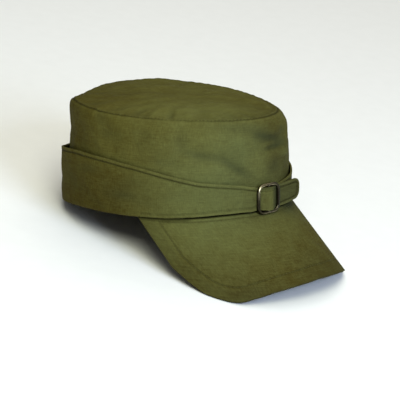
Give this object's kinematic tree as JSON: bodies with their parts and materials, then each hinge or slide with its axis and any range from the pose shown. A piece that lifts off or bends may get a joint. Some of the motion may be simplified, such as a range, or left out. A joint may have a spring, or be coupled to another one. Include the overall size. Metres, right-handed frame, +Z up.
{
  "type": "peaked cotton cap with turned-up ear flaps",
  "caption": "Soft peaked cap: oval crown with a nearly flat top, turned-up ear flaps narrowing to straps joined by a wire slide buckle in front, and a long sloping peak, open below.",
  "frame": {"origin": "on the surface that the cap stands on, under the middle of its box", "axes": "+Z up, the front and the peak towards -Y, the wearer's left towards +X"},
  "size_m": [0.1804, 0.2804, 0.1341],
  "materials": {
    "olive_cotton": "plain-woven cotton, matt, lightly faded along its edges",
    "aged_brass": "dark aged wire with worn bright spots"
  },
  "bodies": {
    "root": {"crown_side": "olive_cotton", "crown_top": "olive_cotton", "peak": "olive_cotton", "flap_right": "olive_cotton", "flap_left": "olive_cotton", "buckle": "aged_brass"}
  },
  "joints": []
}
